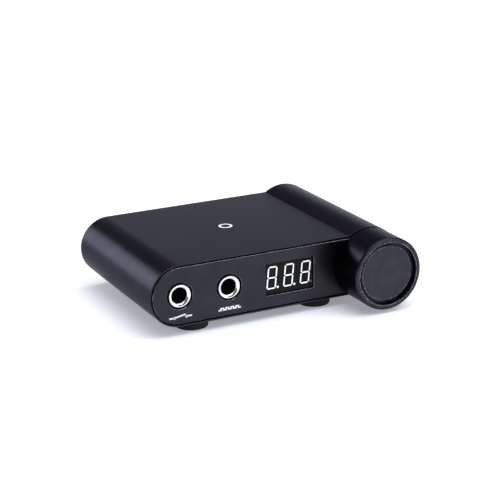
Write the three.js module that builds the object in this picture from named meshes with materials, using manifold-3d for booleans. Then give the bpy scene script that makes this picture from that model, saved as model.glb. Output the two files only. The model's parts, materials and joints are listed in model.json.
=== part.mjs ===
// Compact desktop power and control unit: an extruded aluminium case with one bull-nosed end and one
// tubular end, a front plate with two 6.35 mm sockets and a three-digit display, a large push-and-turn
// knob on the end of the tube, and a back plate with a low-voltage inlet.
//
// Millimetres. +X runs along the front to the knob end, +Y from the front to the back, +Z up.
// Pieces are drawn from the case's left end (x = 0), front rim (y = 0) and underside (z = 0); the
// last lines move the whole unit so that its origin is under its middle, on the table.

import * as THREE from "three";
import { mergeVertices } from "three/addons/utils/BufferGeometryUtils.js";
import Module from "manifold-3d";

const wasm = await Module();
wasm.setup();

// ---- Driving dimensions -------------------------------------------------------------------------

// Air between neighbours, and the hair's breadth between two seated faces.
const air = 0.3;
const seat = 0.1;
// Radial play of a piece that turns or slides in a hole.
const runningPlay = 0.08;

// Case: an extrusion of constant section.
const overallWidth = 114.9;
const bodyHeight = 26;
const bodyDepth = 77;
const tubeRise = 2.7;
const creaseFillet = 0.8;
const wall = 1.6;
const rimWall = 0.8;

// Front and back plates, let into the case's ends.
const plateThickness = 2;
const plateRecess = 0.3;
const plateGap = 0.3;
const plateBevel = 0.3;

// Screw ports along the case and the countersunk screws of the back plate.
const portRadius = 2.3;
const portSink = 0.4;
const screwRadius = 1.0;
const screwLength = 9;
const screwHeadRadius = 2.3;
const screwHeadHeight = 1.3;
const screwSocketRadius = 0.85;
const screwSocketDepth = 0.8;

// Rubber feet.
const footRadius = 7.2;
const footTaper = 0.4;
const footHeight = 4;
const footInset = 10;
const footToEnd = 9;
const footToTube = 4.7;

// 6.35 mm sockets.
const socketSpacing = 21.8;
const socketBoreRadius = 3.2;
const ferruleRadius = 4.9;
const ferruleBarrelRadius = 4.7;
const ferruleClearance = 0.7;
const ferruleLip = 0.35;
const ferruleFunnelDepth = 1.2;
const ferruleLength = 8.7;
const socketBodyWidth = 13;
const socketBodyLength = 30;
const socketBackWall = 1.5;
const contactThickness = 0.4;
const contactWidth = 2.6;
const contactRootY = 13;
const contactDetentY = 26;
const contactDetentDrop = 1.6;
const contactBite = 0.55;

// Three-digit display and the window around it.
const windowWidth = 22.3;
const windowHeight = 13.7;
const windowCornerRadius = 0.6;
const windowToTube = 9.8;
const displayRecess = 1.2;
const displayDepth = 7;
const displayFaceThickness = 1.2;
const displayWall = 0.45;
const displayGap = 0.2;
const digitPitch = 7.75;
const digitHeight = 9.7;
const digitWidth = 4.35;
const digitLean = 0.105;
const digitShift = -0.1;
const digitRise = 0.35;
const segmentWidth = 0.56;
const segmentGap = 0.3;
const pointRadius = 0.5;
const pointGap = 0.38;
const segmentPlay = 0.06;
const digitBackingThickness = 1.5;

// Knob.
const knobRadius = 15.5;
const knobLength = 16.4;
const knobGap = 0.8;
const knobChamfer = 0.6;
const knobFaceRecess = 2.4;
const knobFaceRadius = 13.3;
const knobDiscRadius = 12;
const knobDiscThickness = 0.9;
const knobSkirtWall = 2.5;
const knobSkirtDepth = 7;
const knobHubRadius = 5.5;
const knobWeb = 2.2;
const grubRadius = 1.5;
const grubLength = 5;
const grubHoleRadius = 1.6;
const grubSetback = 9.3;

// Rotary encoder with a push switch.
const shaftRadius = 3;
const shaftFlat = 1.5;
const bushingWall = 0.42;
const bushingLength = 6.5;
const bushingFlangeWidth = 1;
const bushingFlangeThickness = 0.7;
const encoderSize = 12;
const encoderDepth = 7.5;
const encoderWall = 0.8;
const rotorRadius = 4.6;
const rotorThickness = 1.4;
const plungerRadius = 1.6;
const plungerFlange = 2.6;
const pushTravel = 0.5;
const encoderNutFlats = 10;
const encoderNutThickness = 1.8;
const encoderWasherRadius = 5.6;
const encoderWasherThickness = 0.5;

// Circuit boards and what stands on the main one.
const boardThickness = 1.6;
const smallBoardThickness = 1.2;
const boardFront = 4;
const boardBackSpace = 1.2;
const guideLip = 1.5;
const guideWall = 1.2;
const guideWebX = 1.6;

// Low-voltage inlet.
const inletCentreX = 30;
const inletBodyWidth = 9.4;
const inletBodyLength = 13;
const inletNoseRadius = 4;
const inletSocketRadius = 2.85;
const inletSocketDepth = 9.5;
const inletPinRadius = 1.05;

// ---- Places that follow from them ---------------------------------------------------------------

const tubeRadius = bodyHeight / 2 + tubeRise;
const tubeX = overallWidth - tubeRadius;
const axisZ = bodyHeight / 2;
const plateBack = plateRecess + plateThickness;
const plateInset = rimWall + plateGap;
const backPlateFace = bodyDepth - plateRecess;
const backPlateInner = bodyDepth - plateBack;

const windowRight = tubeX - tubeRadius - windowToTube;
const windowLeft = windowRight - windowWidth;
const windowX = (windowLeft + windowRight) / 2;
const footSwitchX = bodyHeight / 2;
const outputX = footSwitchX + socketSpacing;

const portLeftX = (footSwitchX + outputX) / 2;
const portRightX = (windowRight + tubeX - tubeRadius) / 2;
const portLowZ = wall + portRadius - portSink;
const portHighZ = bodyHeight - portLowZ;

const boardBottom = portLowZ + portRadius + 0.2;
const boardTop = boardBottom + boardThickness;
const boardLeft = leftWallX(boardBottom) + air + 0.3;
const boardRight = tubeX - tubeRadius + 0.5;
const boardBack = backPlateInner - boardBackSpace;

const ferruleBack = plateRecess + ferruleLength;
const displayBack = displayRecess + displayDepth;
const knobBack = -knobGap;
const knobFront = knobBack - knobLength;
const shaftFront = knobFront + knobFaceRecess + knobWeb;
const bushingRadius = shaftRadius + runningPlay + bushingWall;
const encoderFront = plateBack + seat;
const encoderBack = encoderFront + encoderDepth;
// The hub stops short of the bushing, with the knob pressed home.
const hubFront = encoderFront - bushingLength - pushTravel - air;

// Where the case's curved inner left wall stands at a height.
function leftWallX(z) {
  const innerRadius = bodyHeight / 2 - wall;
  const drop = bodyHeight / 2 - z;
  return bodyHeight / 2 - Math.sqrt(innerRadius ** 2 - drop ** 2);
}

// ---- Materials ----------------------------------------------------------------------------------

function finish(color, roughness, metalness) {
  return new THREE.MeshStandardMaterial({ color, roughness, metalness });
}

const anodised = finish(0x1c1c20, 0.45, 0.6);
const knobAnodised = finish(0x18181b, 0.4, 0.6);
const knobDiscFinish = finish(0x2a2a2e, 0.75, 0.2);
const blackPlastic = finish(0x0c0c0d, 0.6, 0);
const displayFace = finish(0x141416, 0.5, 0);
const litSegment = finish(0xf4f6ff, 0.5, 0);
const rubber = finish(0x0a0a0a, 0.9, 0);
const chrome = finish(0xd8d8da, 0.12, 1);
const nickel = finish(0xb4b2ac, 0.3, 1);
const steel = finish(0x55565a, 0.4, 0.9);
const blackSteel = finish(0x1a1a1c, 0.5, 0.8);
const brass = finish(0xb08d4a, 0.35, 1);
const boardGreen = finish(0x1f4a2c, 0.6, 0);
const ferrite = finish(0x3a3a3c, 0.8, 0.1);
const sleeveBlue = finish(0x1d2b4a, 0.5, 0);
const bareAluminium = finish(0xa9abad, 0.4, 0.9);
const wireGrey = finish(0x77787a, 0.6, 0);

// ---- Solids -------------------------------------------------------------------------------------

const tubeSteps = 32;
const roundEndSteps = 20;
const cornerSteps = 4;
const roundSides = 40;
const smallSides = 20;
const knobSides = 60;

function solidFrom(geometry) {
  const bare = geometry.index ? geometry.toNonIndexed() : geometry.clone();
  bare.deleteAttribute("normal");
  bare.deleteAttribute("uv");
  const merged = mergeVertices(bare, 1e-4);
  const vertProperties = merged.attributes.position.array;
  const triVerts = new Uint32Array(merged.index.array);
  return new wasm.Manifold(new wasm.Mesh({ numProp: 3, vertProperties, triVerts }));
}

function geometryFrom(solid) {
  const mesh = solid.getMesh();
  const positions = new Float32Array(mesh.numVert * 3);
  for (let i = 0; i < mesh.numVert; i++) {
    const start = i * mesh.numProp;
    positions.set(mesh.vertProperties.subarray(start, start + 3), i * 3);
  }
  const geometry = new THREE.BufferGeometry();
  geometry.setAttribute("position", new THREE.BufferAttribute(positions, 3));
  geometry.setIndex(new THREE.BufferAttribute(mesh.triVerts, 1));
  geometry.computeVertexNormals();
  return geometry;
}

function piece(name, solid, material) {
  const mesh = new THREE.Mesh(geometryFrom(solid), material);
  mesh.name = name;
  return mesh;
}

function join(first, ...others) {
  return others.reduce((sum, other) => sum.add(other), first);
}

function cut(first, ...others) {
  return others.reduce((rest, other) => rest.subtract(other), first);
}

// A block between two corners' coordinates, each axis as [low, high].
function block([x0, x1], [y0, y1], [z0, z1]) {
  const geometry = new THREE.BoxGeometry(x1 - x0, y1 - y0, z1 - z0);
  geometry.translate((x0 + x1) / 2, (y0 + y1) / 2, (z0 + z1) / 2);
  return solidFrom(geometry);
}

// A round bar along Y, centred on [x, z].
function rodY(radius, [y0, y1], [x, z], sides = smallSides) {
  const geometry = new THREE.CylinderGeometry(radius, radius, y1 - y0, sides);
  geometry.translate(x, (y0 + y1) / 2, z);
  return solidFrom(geometry);
}

// A round bar along Z, centred on [x, y].
function rodZ(radius, [z0, z1], [x, y], sides = smallSides) {
  const geometry = new THREE.CylinderGeometry(radius, radius, z1 - z0, sides);
  geometry.rotateX(Math.PI / 2);
  geometry.translate(x, y, (z0 + z1) / 2);
  return solidFrom(geometry);
}

// A turned piece about the Y axis through [x, z], from a closed outline of [radius, y] points.
function turned(outline, [x, z], sides = roundSides) {
  let area = 0;
  outline.forEach(([r, y], i) => {
    const [nextR, nextY] = outline[(i + 1) % outline.length];
    area += r * nextY - nextR * y;
  });
  const ordered = area > 0 ? outline : [...outline].reverse();
  const points = [...ordered, ordered[0]].map(([r, y]) => new THREE.Vector2(r, y));
  const geometry = new THREE.LatheGeometry(points, sides);
  geometry.translate(x, 0, z);
  return solidFrom(geometry);
}

// A shape drawn in X and Z, swept along Y.
function sweptY(shape, [y0, y1]) {
  const options = { depth: y1 - y0, bevelEnabled: false };
  const geometry = new THREE.ExtrudeGeometry(shape, options);
  geometry.rotateX(Math.PI / 2);
  geometry.translate(0, y1, 0);
  return solidFrom(geometry);
}

// A shape drawn in X and Y, swept along Z.
function sweptZ(shape, [z0, z1]) {
  const options = { depth: z1 - z0, bevelEnabled: false };
  const geometry = new THREE.ExtrudeGeometry(shape, options);
  geometry.translate(0, 0, z0);
  return solidFrom(geometry);
}

// A shape drawn in Y and Z, swept along X.
function sweptX(shape, [x0, x1]) {
  const options = { depth: x1 - x0, bevelEnabled: false };
  const geometry = new THREE.ExtrudeGeometry(shape, options);
  geometry.rotateY(Math.PI / 2);
  geometry.rotateX(Math.PI / 2);
  geometry.translate(x0, 0, 0);
  return solidFrom(geometry);
}

function polygon(points) {
  return new THREE.Shape(points.map(([x, y]) => new THREE.Vector2(x, y)));
}

// Points along an arc about [x, z], from one angle to another.
function arc([x, z], radius, from, to, steps) {
  return Array.from({ length: steps + 1 }, (_, i) => {
    const angle = from + ((to - from) * i) / steps;
    return [x + radius * Math.cos(angle), z + radius * Math.sin(angle)];
  });
}

// A rectangle about [x, z] with round corners.
function roundedRectangle([x, z], width, height, radius) {
  const quarter = Math.PI / 2;
  const corners = [[1, 1], [-1, 1], [-1, -1], [1, -1]];
  return polygon(
    corners.flatMap(([right, up], i) => {
      const centre = [x + right * (width / 2 - radius), z + up * (height / 2 - radius)];
      return arc(centre, radius, i * quarter, (i + 1) * quarter, cornerSteps);
    }),
  );
}

// The case's section, taken in by an inset: a half-round end, two flats, and the tube, which the
// flats meet in a small hollow fillet.
function caseOutline(inset) {
  const endRadius = bodyHeight / 2;
  const filletZ = endRadius + creaseFillet;
  const filletX = tubeX - Math.sqrt((tubeRadius + creaseFillet) ** 2 - filletZ ** 2);
  const meet = Math.atan2(filletZ, filletX - tubeX);
  const hollow = creaseFillet + inset;
  const upper = [filletX, axisZ + filletZ];
  const lower = [filletX, axisZ - filletZ];
  return polygon([
    ...arc(upper, hollow, -Math.PI / 2, meet - Math.PI, cornerSteps),
    ...arc([tubeX, axisZ], tubeRadius - inset, meet, -meet, tubeSteps).slice(1),
    ...arc(lower, hollow, Math.PI - meet, Math.PI / 2, cornerSteps).slice(1),
    ...arc([endRadius, axisZ], endRadius - inset, -Math.PI / 2, -1.5 * Math.PI, roundEndSteps),
  ]);
}

// ---- Case, plates, screws and feet --------------------------------------------------------------

const portCentres = [
  ["lower_left", portLeftX, portLowZ],
  ["upper_left", portLeftX, portHighZ],
  ["lower_right", portRightX, portLowZ],
  ["upper_right", portRightX, portHighZ],
];

function caseShell() {
  const between = [plateBack + seat, backPlateInner - seat];
  const outer = sweptY(caseOutline(0), [0, bodyDepth]);
  const cavity = sweptY(caseOutline(wall), [-1, bodyDepth + 1]);
  const frontRebate = sweptY(caseOutline(rimWall), [-1, between[0]]);
  const backRebate = sweptY(caseOutline(rimWall), [between[1], bodyDepth + 1]);
  const ports = portCentres.map(([, x, z]) => rodY(portRadius, between, [x, z]));
  const portHoles = portCentres.map(([, x, z]) => rodY(screwRadius + seat, [-1, bodyDepth + 1], [x, z]));
  const guideZ = [boardBottom - guideWall, boardTop + guideWall];
  const slotZ = [boardBottom - seat, boardTop + seat];
  const leftGuide = block([wall / 2, boardLeft + guideLip], between, guideZ)
    .intersect(sweptY(caseOutline(wall / 2), between));
  const leftSlot = block([boardLeft - seat, boardLeft + guideLip + 1], between, slotZ);
  const webX = [boardRight - guideLip, boardRight + guideWebX];
  const rightGuide = block(webX, between, [wall / 2, guideZ[1]]);
  const rightSlot = block([boardRight - guideLip - 1, boardRight + seat], between, slotZ);
  const shell = cut(outer, cavity, frontRebate, backRebate);
  const guides = cut(join(leftGuide, rightGuide), leftSlot, rightSlot);
  return cut(join(shell, ...ports, guides), ...portHoles);
}

// A plate of the case's section with its outer edge bevelled, its show face at faceY.
function plateBlank([y0, y1], faceY) {
  const backY = faceY === y0 ? y1 : y0;
  const step = faceY === y0 ? plateBevel : -plateBevel;
  const start = faceY + step;
  const body = sweptY(caseOutline(plateInset), [Math.min(start, backY), Math.max(start, backY)]);
  const face = sweptY(caseOutline(plateInset + plateBevel), [y0, y1]);
  return join(body, face);
}

function frontPlate() {
  const through = [-1, plateBack + 1];
  const blank = plateBlank([plateRecess, plateBack], plateRecess);
  const socketHoles = [footSwitchX, outputX].map((x) => {
    return rodY(ferruleRadius + ferruleClearance, through, [x, axisZ], roundSides);
  });
  const opening = roundedRectangle([windowX, axisZ], windowWidth, windowHeight, windowCornerRadius);
  const encoderHole = rodY(bushingRadius + seat, through, [tubeX, axisZ]);
  const studHoles = bracketXs.map((x) => {
    return rodY(studRadius + seat, [plateBack - studSink, plateBack + 1], [x, studZ]);
  });
  return cut(blank, ...socketHoles, sweptY(opening, through), encoderHole, ...studHoles);
}

function backPlate() {
  const through = [backPlateInner - 1, bodyDepth + 1];
  const blank = plateBlank([backPlateInner, backPlateFace], backPlateFace);
  const holes = portCentres.map(([, x, z]) => {
    const sink = [
      [0, backPlateFace + 1],
      [screwHeadRadius + seat, backPlateFace + 1],
      [screwHeadRadius + seat, backPlateFace],
      [screwRadius + seat, backPlateFace - screwHeadHeight],
      [screwRadius + seat, backPlateInner - 1],
      [0, backPlateInner - 1],
    ];
    return turned(sink, [x, z], smallSides);
  });
  const inletHole = rodY(inletNoseRadius + air, through, [inletCentreX, axisZ], roundSides);
  return cut(blank, ...holes, inletHole);
}

function backScrew([label, x, z]) {
  const face = backPlateFace - seat;
  const outline = [
    [0, face],
    [screwHeadRadius, face],
    [screwRadius, face - screwHeadHeight],
    [screwRadius, face - screwLength],
    [0, face - screwLength],
  ];
  const socket = rodY(screwSocketRadius, [face - screwSocketDepth, face + 1], [x, z], 6);
  return piece(`back_screw_${label}`, cut(turned(outline, [x, z], smallSides), socket), blackSteel);
}

function foot(label, x, y) {
  const thickness = footHeight - seat;
  const geometry = new THREE.CylinderGeometry(footRadius, footRadius - footTaper, thickness, roundSides);
  geometry.rotateX(Math.PI / 2);
  geometry.translate(x, y, -seat - thickness / 2);
  return piece(`foot_${label}`, solidFrom(geometry), rubber);
}

function enclosure() {
  const group = new THREE.Group();
  group.add(piece("case_shell", caseShell(), anodised));
  group.add(piece("front_plate", frontPlate(), anodised));
  group.add(piece("back_plate", backPlate(), anodised));
  portCentres.forEach((centre) => group.add(backScrew(centre)));
  const footLeftX = bodyHeight / 2 + footToEnd;
  const footRightX = tubeX - tubeRadius - footToTube;
  group.add(foot("front_left", footLeftX, footInset));
  group.add(foot("front_right", footRightX, footInset));
  group.add(foot("back_left", footLeftX, bodyDepth - footInset));
  group.add(foot("back_right", footRightX, bodyDepth - footInset));
  return group;
}

// ---- Brackets that hold the front plate to the main board ---------------------------------------

const bracketWidth = 5;
const bracketThickness = 1.2;
const bracketHeight = 10;
const bracketLength = 9;
const studRadius = 1.2;
const studSink = 1.2;
const studLength = 5;
const studZ = boardTop + 6.4;
const studNutFlats = 4;
const studNutThickness = 1.5;
const bracketScrewHeadRadius = 2.1;
const bracketScrewHeadHeight = 1.3;
const bracketXs = [portLeftX, portRightX];
const bracketFront = plateBack + seat;
const bracketScrewY = bracketFront + 6;

function bracket(x) {
  const base = boardTop + seat;
  const outline = polygon([
    [bracketFront, base],
    [bracketFront + bracketLength, base],
    [bracketFront + bracketLength, base + bracketThickness],
    [bracketFront + bracketThickness, base + bracketThickness],
    [bracketFront + bracketThickness, base + bracketHeight],
    [bracketFront, base + bracketHeight],
  ]);
  const angle = sweptX(outline, [x - bracketWidth / 2, x + bracketWidth / 2]);
  const studHole = rodY(studRadius + seat, [0, bracketFront + bracketThickness + 1], [x, studZ]);
  const screwHole = rodZ(studRadius + seat, [boardTop - 1, base + bracketThickness + 1], [x, bracketScrewY]);
  return cut(angle, studHole, screwHole);
}

function bracketSet(label, x) {
  const group = new THREE.Group();
  const studStart = plateBack - studSink + seat;
  const nutStart = bracketFront + bracketThickness + seat;
  const stud = rodY(studRadius, [studStart, studStart + studLength], [x, studZ]);
  const nutRadius = studNutFlats / Math.sqrt(3);
  const nut = cut(
    rodY(nutRadius, [nutStart, nutStart + studNutThickness], [x, studZ], 6),
    rodY(studRadius + seat, [0, nutStart + studNutThickness + 1], [x, studZ]),
  );
  const headBase = boardTop + bracketThickness + 2 * seat;
  const screw = join(
    rodZ(studRadius, [boardBottom + seat, headBase + 0.2], [x, bracketScrewY]),
    rodZ(bracketScrewHeadRadius, [headBase, headBase + bracketScrewHeadHeight], [x, bracketScrewY]),
  );
  group.add(piece(`front_bracket_${label}`, bracket(x), steel));
  group.add(piece(`plate_stud_${label}`, stud, nickel));
  group.add(piece(`plate_stud_nut_${label}`, nut, nickel));
  group.add(piece(`bracket_screw_${label}`, screw, nickel));
  return group;
}

// ---- 6.35 mm sockets ----------------------------------------------------------------------------

function socketFerrule(x) {
  const outline = [
    [ferruleRadius - ferruleLip, plateRecess],
    [ferruleRadius, plateRecess],
    [ferruleRadius, plateBack],
    [ferruleBarrelRadius, plateBack],
    [ferruleBarrelRadius, ferruleBack],
    [socketBoreRadius, ferruleBack],
    [socketBoreRadius, plateRecess + ferruleFunnelDepth],
  ];
  return turned(outline, [x, axisZ]);
}

function socketBody(x) {
  const front = plateBack + seat;
  const back = front + socketBodyLength;
  const half = axisZ - boardTop - seat;
  const sides = [x - socketBodyWidth / 2, x + socketBodyWidth / 2];
  const shell = block(sides, [front, back], [axisZ - half, axisZ + half]);
  const barrelRoom = ferruleBarrelRadius + seat;
  const counterbore = rodY(barrelRoom, [front - 1, ferruleBack + seat], [x, axisZ], roundSides);
  const bore = rodY(socketBoreRadius + air, [front, back - socketBackWall], [x, axisZ], roundSides);
  const slotX = [x - contactWidth / 2 - air, x + contactWidth / 2 + air];
  const slot = block(slotX, [contactRootY - 1.5, back - socketBackWall], [axisZ, axisZ + half + 1]);
  return cut(shell, counterbore, bore, slot);
}

// The sprung leaf that presses on the plug's tip: a strip from its root, dipping to a detent.
function tipContact(x) {
  const rootZ = axisZ + socketBoreRadius - contactBite + contactDetentDrop;
  const t = contactThickness;
  const detentZ = rootZ - contactDetentDrop;
  const outline = polygon([
    [contactRootY - 1, rootZ],
    [contactRootY + 6, rootZ],
    [contactDetentY - 2.5, rootZ - 0.2],
    [contactDetentY, detentZ],
    [contactDetentY + 2.5, rootZ - 0.2],
    [contactDetentY + 2.5, rootZ - 0.2 + t],
    [contactDetentY, detentZ + t],
    [contactDetentY - 2.5, rootZ - 0.2 + t],
    [contactRootY + 6, rootZ + t],
    [contactRootY - 1, rootZ + t],
  ]);
  return sweptX(outline, [x - contactWidth / 2, x + contactWidth / 2]);
}

function socketSet(label, x) {
  const group = new THREE.Group();
  group.add(piece(`${label}_socket_body`, socketBody(x), blackPlastic));
  group.add(piece(`${label}_socket_ferrule`, socketFerrule(x), chrome));
  group.add(piece(`${label}_socket_tip_contact`, tipContact(x), nickel));
  return group;
}

// ---- Three-digit display ------------------------------------------------------------------------

const displayWidth = windowWidth - 2 * displayGap;
const displayHeight = windowHeight - 2 * displayGap;

// The seven bars of a figure as [centre across, centre up, length, upright], before it leans.
function figureBars() {
  const across = digitWidth - segmentWidth;
  const up = (digitHeight - segmentWidth) / 2;
  const flat = across - segmentGap;
  const tall = up - segmentGap;
  return [
    [0, up, flat, false],
    [0, 0, flat, false],
    [0, -up, flat, false],
    [-across / 2, up / 2, tall, true],
    [across / 2, up / 2, tall, true],
    [-across / 2, -up / 2, tall, true],
    [across / 2, -up / 2, tall, true],
  ];
}

// One bar with mitred ends as a shape in X and Z, leaning with the figure about [x, z].
function barShape([x, z], [across, up, length, upright], play) {
  const half = length / 2 + play;
  const thick = segmentWidth / 2 + play;
  const ends = [
    [-half, 0],
    [-half + thick, thick],
    [half - thick, thick],
    [half, 0],
    [half - thick, -thick],
    [-half + thick, -thick],
  ];
  return polygon(
    ends.map(([along, side]) => {
      const dx = across + (upright ? side : along);
      const dz = up + (upright ? along : side);
      return [x + dx + dz * digitLean, z + dz];
    }),
  );
}

function figureCentre(index) {
  return [windowX + digitShift + (index - 1) * digitPitch, axisZ + digitRise];
}

function figureSolids(index, depth, play) {
  const centre = figureCentre(index);
  const bars = figureBars().map((bar) => sweptY(barShape(centre, bar, play), depth));
  const drop = -digitHeight / 2 + pointRadius;
  const pointX = centre[0] + digitWidth / 2 + pointGap + pointRadius + drop * digitLean;
  const point = rodY(pointRadius + play, depth, [pointX, centre[1] + drop], 16);
  return [...bars, point];
}

function displayReflector() {
  const front = displayRecess;
  const x = [windowX - displayWidth / 2, windowX + displayWidth / 2];
  const z = [axisZ - displayHeight / 2, axisZ + displayHeight / 2];
  const well = block(
    [x[0] + displayWall, x[1] - displayWall],
    [front + displayFaceThickness, displayBack + 1],
    [z[0] + displayWall, z[1] - displayWall],
  );
  const holes = [0, 1, 2].flatMap((index) => figureSolids(index, [front - 1, displayBack], segmentPlay));
  return cut(block(x, [front, displayBack], z), well, ...holes);
}

// The clear resin of one figure: bars that fill the face's slots, on a common backing. The three
// backings part midway between a figure's point and the next figure.
function figureResin(index) {
  const backing = displayRecess + displayFaceThickness + seat;
  const inside = displayWidth / 2 - displayWall - seat;
  const partingX = figureCentre(index)[0] + digitPitch / 2 + pointRadius;
  const left = index === 0 ? windowX - inside : partingX - digitPitch + seat;
  const right = index === 2 ? windowX + inside : partingX - seat;
  const high = displayHeight / 2 - displayWall - seat;
  const slab = block([left, right], [backing, backing + digitBackingThickness], [axisZ - high, axisZ + high]);
  return join(slab, ...figureSolids(index, [displayRecess, backing + seat], 0));
}

function displayBoard() {
  const y = [displayBack + seat, displayBack + seat + smallBoardThickness];
  const x = [windowX - displayWidth / 2 - 1, windowX + displayWidth / 2 + 1];
  return block(x, y, [boardTop + seat, axisZ + displayHeight / 2 + 0.8]);
}

function displaySet() {
  const group = new THREE.Group();
  group.add(piece("display_reflector", displayReflector(), displayFace));
  for (const index of [0, 1, 2]) {
    group.add(piece(`display_figure_${index + 1}`, figureResin(index), litSegment));
  }
  group.add(piece("display_board", displayBoard(), boardGreen));
  const headerFront = displayBack + smallBoardThickness + 2 * seat;
  const header = block(
    [windowX - 8.9, windowX + 8.9],
    [headerFront, headerFront + 2.5],
    [boardTop + seat, boardTop + seat + 2.5],
  );
  group.add(piece("display_header", header, blackPlastic));
  return group;
}

// ---- Encoder and knob ---------------------------------------------------------------------------

const flangeFront = encoderFront + encoderWall + seat;
const flangeBack = flangeFront + bushingFlangeThickness;
const rotorFront = flangeBack + seat;
const rotorBack = rotorFront + rotorThickness;

function encoderCan() {
  const half = encoderSize / 2;
  const x = [tubeX - half, tubeX + half];
  const z = [axisZ - half, axisZ + half];
  const can = block(x, [encoderFront, encoderBack], z);
  const inside = [encoderFront + encoderWall, encoderBack - encoderWall];
  const drum = rodY(half - encoderWall, inside, [tubeX, axisZ]);
  const mouth = rodY(bushingRadius + seat, [encoderFront - 1, inside[0] + 1], [tubeX, axisZ]);
  return cut(can, drum, mouth);
}

function encoderBushing() {
  const inner = shaftRadius + runningPlay;
  const flangeRadius = bushingRadius + bushingFlangeWidth;
  const front = encoderFront - bushingLength;
  const outline = [
    [inner, front],
    [bushingRadius, front],
    [bushingRadius, flangeFront],
    [flangeRadius, flangeFront],
    [flangeRadius, flangeBack],
    [inner, flangeBack],
  ];
  return turned(outline, [tubeX, axisZ]);
}

function encoderWasher() {
  const back = plateRecess - seat;
  const ring = rodY(encoderWasherRadius, [back - encoderWasherThickness, back], [tubeX, axisZ], roundSides);
  return cut(ring, rodY(bushingRadius + seat, [-9, plateBack], [tubeX, axisZ]));
}

function encoderNut() {
  const back = plateRecess - 2 * seat - encoderWasherThickness;
  const radius = encoderNutFlats / Math.sqrt(3);
  const hexagon = rodY(radius, [back - encoderNutThickness, back], [tubeX, axisZ], 6);
  return cut(hexagon, rodY(bushingRadius + seat, [-9, plateBack], [tubeX, axisZ]));
}

// The shaft has a flat on its underside for the grub screw, and turns with the rotor behind it.
function encoderShaft() {
  const bar = rodY(shaftRadius, [shaftFront, rotorFront - seat], [tubeX, axisZ], roundSides);
  const reach = shaftRadius + 1;
  const flat = block(
    [tubeX - reach, tubeX + reach],
    [shaftFront - 1, encoderFront - bushingLength - 0.5],
    [axisZ - reach, axisZ - shaftFlat],
  );
  return cut(bar, flat);
}

function encoderPlunger() {
  const front = rotorBack + seat;
  const outline = [
    [0, front],
    [plungerFlange, front],
    [plungerFlange, front + 0.8],
    [plungerRadius, front + 0.8],
    [plungerRadius, encoderBack - encoderWall - pushTravel - seat],
    [0, encoderBack - encoderWall - pushTravel - seat],
  ];
  return turned(outline, [tubeX, axisZ], smallSides);
}

function knobBody() {
  const outline = [
    [0, knobFront + knobFaceRecess],
    [knobFaceRadius, knobFront + knobFaceRecess],
    [knobFaceRadius, knobFront],
    [knobRadius - knobChamfer, knobFront],
    [knobRadius, knobFront + knobChamfer],
    [knobRadius, knobBack],
    [knobRadius - knobSkirtWall, knobBack],
    [knobRadius - knobSkirtWall, knobBack - knobSkirtDepth],
    [knobHubRadius, knobBack - knobSkirtDepth],
    [knobHubRadius, hubFront],
    [0, hubFront],
  ];
  const bore = rodY(shaftRadius + seat, [shaftFront - air, 0], [tubeX, axisZ], roundSides);
  const grubHole = rodZ(grubHoleRadius, [axisZ - knobRadius - 1, axisZ], [tubeX, knobBack - grubSetback]);
  return cut(turned(outline, [tubeX, axisZ], knobSides), bore, grubHole);
}

function knobDisc() {
  const back = knobFront + knobFaceRecess - seat;
  return rodY(knobDiscRadius, [back - knobDiscThickness, back], [tubeX, axisZ], knobSides);
}

function grubScrew() {
  const top = axisZ - shaftFlat - seat;
  const y = knobBack - grubSetback;
  const socket = rodZ(screwSocketRadius, [top - grubLength - 1, top - grubLength + 1.5], [tubeX, y], 6);
  return cut(rodZ(grubRadius, [top - grubLength, top], [tubeX, y]), socket);
}

function encoderBoard() {
  const y = [encoderBack + seat, encoderBack + seat + smallBoardThickness];
  const half = encoderSize / 2 + 1;
  return block([tubeX - half, tubeX + half], y, [axisZ - half, axisZ + half]);
}

function knobSet() {
  const group = new THREE.Group();
  group.add(piece("encoder_body", encoderCan(), bareAluminium));
  group.add(piece("encoder_bushing", encoderBushing(), brass));
  group.add(piece("encoder_washer", encoderWasher(), nickel));
  group.add(piece("encoder_nut", encoderNut(), nickel));
  group.add(piece("encoder_shaft", encoderShaft(), bareAluminium));
  group.add(piece("encoder_rotor", rodY(rotorRadius, [rotorFront, rotorBack], [tubeX, axisZ]), blackPlastic));
  group.add(piece("encoder_push_plunger", encoderPlunger(), blackPlastic));
  group.add(piece("encoder_board", encoderBoard(), boardGreen));
  group.add(piece("knob_body", knobBody(), knobAnodised));
  group.add(piece("knob_face_disc", knobDisc(), knobDiscFinish));
  group.add(piece("knob_grub_screw", grubScrew(), blackSteel));
  return group;
}

// ---- Low-voltage inlet --------------------------------------------------------------------------

function inletBody() {
  const inner = backPlateInner - seat;
  const half = axisZ - boardTop - seat;
  const nose = rodY(inletNoseRadius, [inner - 1, backPlateFace], [inletCentreX, axisZ], roundSides);
  const box = block(
    [inletCentreX - inletBodyWidth / 2, inletCentreX + inletBodyWidth / 2],
    [inner - inletBodyLength, inner],
    [axisZ - half, axisZ + half],
  );
  const mouthReach = [backPlateFace - inletSocketDepth, bodyDepth + 1];
  const mouth = rodY(inletSocketRadius, mouthReach, [inletCentreX, axisZ], roundSides);
  return cut(join(box, nose), mouth);
}

function inletPin() {
  const root = backPlateFace - inletSocketDepth + seat;
  return rodY(inletPinRadius, [root, backPlateFace - 0.8], [inletCentreX, axisZ]);
}

function inletSet() {
  const group = new THREE.Group();
  group.add(piece("power_inlet_body", inletBody(), blackPlastic));
  group.add(piece("power_inlet_pin", inletPin(), nickel));
  return group;
}

// ---- Main board and what stands on it -----------------------------------------------------------

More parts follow.
